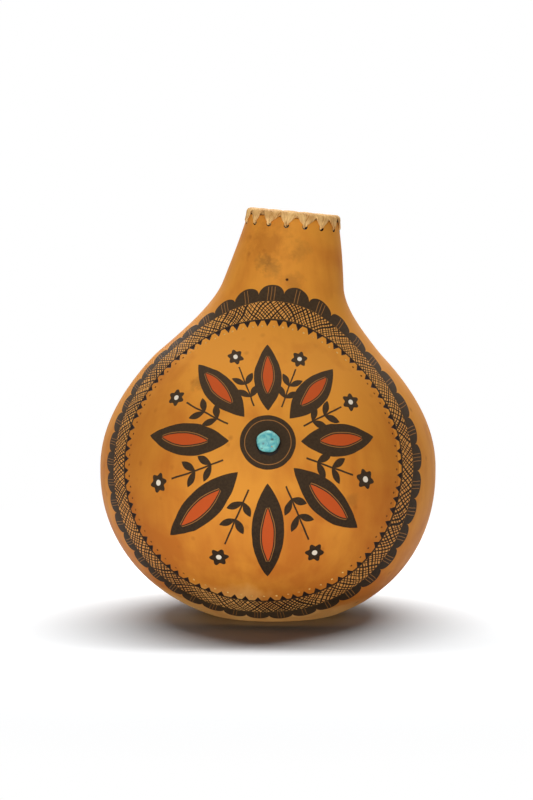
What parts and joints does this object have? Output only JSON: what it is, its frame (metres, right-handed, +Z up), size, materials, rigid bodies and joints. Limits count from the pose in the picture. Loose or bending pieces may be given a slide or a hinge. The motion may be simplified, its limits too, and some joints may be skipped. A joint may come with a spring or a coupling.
{
  "type": "laced gourd bowl",
  "caption": "Hollow dried bottle gourd with a leaning neck, a laced rim over a fibre core, a scratched and painted round border on its front, and one turquoise nugget set in pitch.",
  "frame": {"origin": "on the standing plane, under the middle of the belly, inside the flat base", "axes": "+Z up through the neck, -Y out of the decorated front where the stone sits, +X to the viewer's right, the side to which the neck leans"},
  "size_m": [0.21, 0.2111, 0.2555],
  "materials": {
    "gourd": "dried gourd skin, waxed to a satin sheen, with dark brown painted and scratched ornament",
    "fibre_rod": "matt twisted plant fibre",
    "lace": "matt flat strips of pale split plant fibre",
    "pitch": "black pitch, dull sheen",
    "turquoise": "tumbled stone with dark matrix, soft polish"
  },
  "bodies": {
    "root": {"gourd_shell": "gourd", "rim_core": "fibre_rod", "rim_lace_first": "lace", "rim_lace_second": "lace", "stone_bed": "pitch", "turquoise_stone": "turquoise"}
  },
  "joints": []
}
